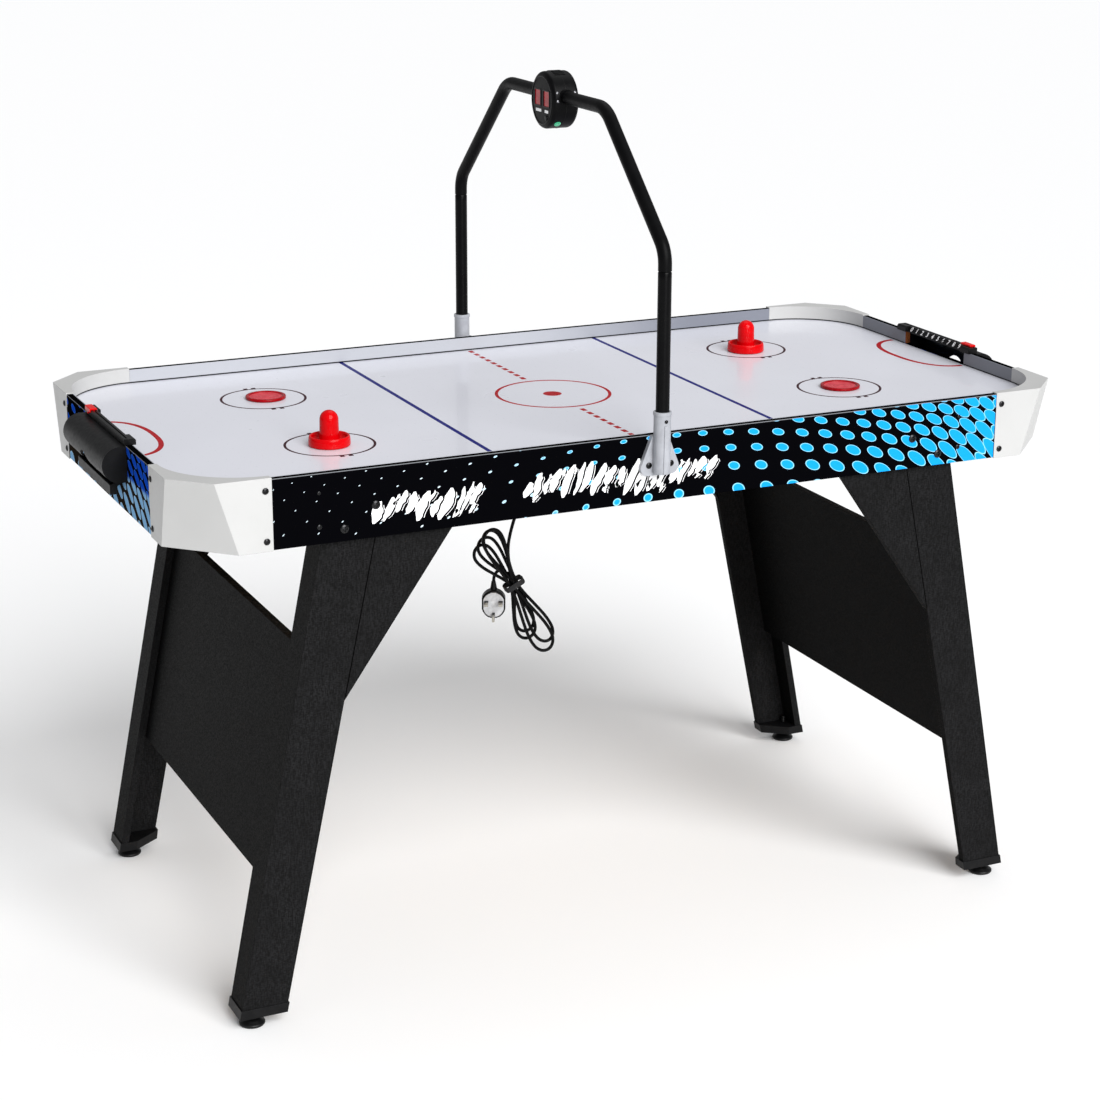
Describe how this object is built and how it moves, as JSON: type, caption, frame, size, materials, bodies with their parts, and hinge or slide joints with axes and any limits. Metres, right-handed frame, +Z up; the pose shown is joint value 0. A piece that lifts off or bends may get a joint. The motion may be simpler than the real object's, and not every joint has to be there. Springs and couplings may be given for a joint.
{
  "type": "air hockey table",
  "caption": "Standing air hockey table with curved corners, hooded goals, sliding score markers, an arched overhead scorer, a blower underneath, pucks and pushers.",
  "frame": {"origin": "on the floor under the middle of the table", "axes": "+X along the table towards the right-hand goal, +Y across it towards the back side, +Z up"},
  "size_m": [1.436, 0.727, 1.242],
  "materials": {
    "field_white": "smooth white lacquer, printed lines",
    "black_laminate": "black laminate on board, printed outside on the aprons",
    "rail_liner": "smooth silver grey",
    "cap_white": "moulded, light grey, satin",
    "bare_wood": "bare board and batten",
    "black_plastic": "moulded, satin",
    "motor_steel": "drawn steel can",
    "black_steel": "black oxide",
    "tube_black": "gloss powder coat",
    "bracket_grey": "moulded, satin",
    "display_red": "dark red lens",
    "board_green": "solder mask",
    "button_green": "lit lens",
    "red_plastic": "moulded, gloss",
    "cord_rubber": "smooth flex",
    "pin_brass": "bright"
  },
  "bodies": {
    "table": {"playfield_board": "field_white", "side_apron_front": "black_laminate", "side_apron_back": "black_laminate", "end_apron_left": "black_laminate", "end_apron_right": "black_laminate", "leg_front_left": "black_laminate", "leg_front_right": "black_laminate", "leg_back_left": "black_laminate", "leg_back_right": "black_laminate", "leg_wing_front_left": "black_laminate", "leg_wing_front_right": "black_laminate", "leg_wing_back_left": "black_laminate", "leg_wing_back_right": "black_laminate", "end_panel_left": "black_laminate", "end_panel_right": "black_laminate", "rail_liners": "rail_liner", "corner_cap_front_left": "cap_white", "corner_cap_front_right": "cap_white", "corner_cap_back_left": "cap_white", "corner_cap_back_right": "cap_white", "chamber_battens": "bare_wood", "chamber_floor": "bare_wood", "blower_housing": "black_plastic", "blower_grille": "black_plastic", "goal_bar_left": "black_plastic", "goal_bar_right": "black_plastic", "goal_hood_left": "black_plastic", "goal_hood_right": "black_plastic", "goal_tray_left": "black_plastic", "goal_tray_right": "black_plastic", "leg_end_caps": "black_plastic", "scoreboard_shell_left": "black_plastic", "scoreboard_shell_right": "black_plastic", "cord_gland": "black_plastic", "plug_body": "black_plastic", "blower_motor": "motor_steel", "pan_head_screws": "black_steel", "leg_bolts": "black_steel", "scorer_tube_front": "tube_black", "scorer_tube_back": "tube_black", "scorer_bracket_front": "bracket_grey", "scorer_bracket_back": "bracket_grey", "display_windows": "display_red", "scoreboard_circuit_boards": "board_green", "cord_lead": "cord_rubber", "cord_hank": "cord_rubber", "plug_pins": "pin_brass"},
    "impeller": {"blower_impeller": "black_plastic"},
    "slider_left": {"score_slider_left": "red_plastic"},
    "slider_right": {"score_slider_right": "red_plastic"},
    "reset_switch": {"reset_button": "black_plastic"},
    "power_switch": {"power_button": "button_green"},
    "puck_left": {"puck_left": "red_plastic"},
    "puck_right": {"puck_right": "red_plastic"},
    "pusher_left": {"pusher_left": "red_plastic"},
    "pusher_right": {"pusher_right": "red_plastic"},
    "foot_front_left": {"leveller_foot_front_left": "black_plastic"},
    "foot_front_right": {"leveller_foot_front_right": "black_plastic"},
    "foot_back_left": {"leveller_foot_back_left": "black_plastic"},
    "foot_back_right": {"leveller_foot_back_right": "black_plastic"}
  },
  "joints": [
    {"name": "impeller_spin", "type": "hinge", "parent": "table", "child": "impeller", "pos_m": [0, 0, 0.66], "axis": [0, 0, 1], "continuous": true},
    {"name": "score_slide_left", "type": "slide", "parent": "table", "child": "slider_left", "axis": [0, 1, 0], "range_m": [-0.166, 0.003]},
    {"name": "score_slide_right", "type": "slide", "parent": "table", "child": "slider_right", "axis": [0, 1, 0], "range_m": [-0.003, 0.166]},
    {"name": "reset_press", "type": "slide", "parent": "table", "child": "reset_switch", "axis": [1, 0, 0], "range_m": [0, 0.0015], "stiffness_N_per_m": 300, "springref_m": -0.001},
    {"name": "power_press", "type": "slide", "parent": "table", "child": "power_switch", "axis": [0, 0.6293, 0.7771], "range_m": [0, 0.0015], "stiffness_N_per_m": 300, "springref_m": -0.001},
    {"name": "puck_glide_left", "type": "slide", "parent": "table", "child": "puck_left", "axis": [1, 0, 0], "range_m": [-0.24, 0.74]},
    {"name": "puck_glide_right", "type": "slide", "parent": "table", "child": "puck_right", "axis": [1, 0, 0], "range_m": [-0.75, 0.225]},
    {"name": "pusher_glide_left", "type": "slide", "parent": "table", "child": "pusher_left", "axis": [1, 0, 0], "range_m": [-0.235, 0.375]},
    {"name": "pusher_glide_right", "type": "slide", "parent": "table", "child": "pusher_right", "axis": [1, 0, 0], "range_m": [-0.375, 0.233]},
    {"name": "level_front_left", "type": "hinge", "parent": "table", "child": "foot_front_left", "pos_m": [-0.601, -0.31, 0], "axis": [0, 0, 1], "continuous": true},
    {"name": "level_front_right", "type": "hinge", "parent": "table", "child": "foot_front_right", "pos_m": [0.601, -0.31, 0], "axis": [0, 0, 1], "continuous": true},
    {"name": "level_back_left", "type": "hinge", "parent": "table", "child": "foot_back_left", "pos_m": [-0.601, 0.31, 0], "axis": [0, 0, 1], "continuous": true},
    {"name": "level_back_right", "type": "hinge", "parent": "table", "child": "foot_back_right", "pos_m": [0.601, 0.31, 0], "axis": [0, 0, 1], "continuous": true}
  ]
}
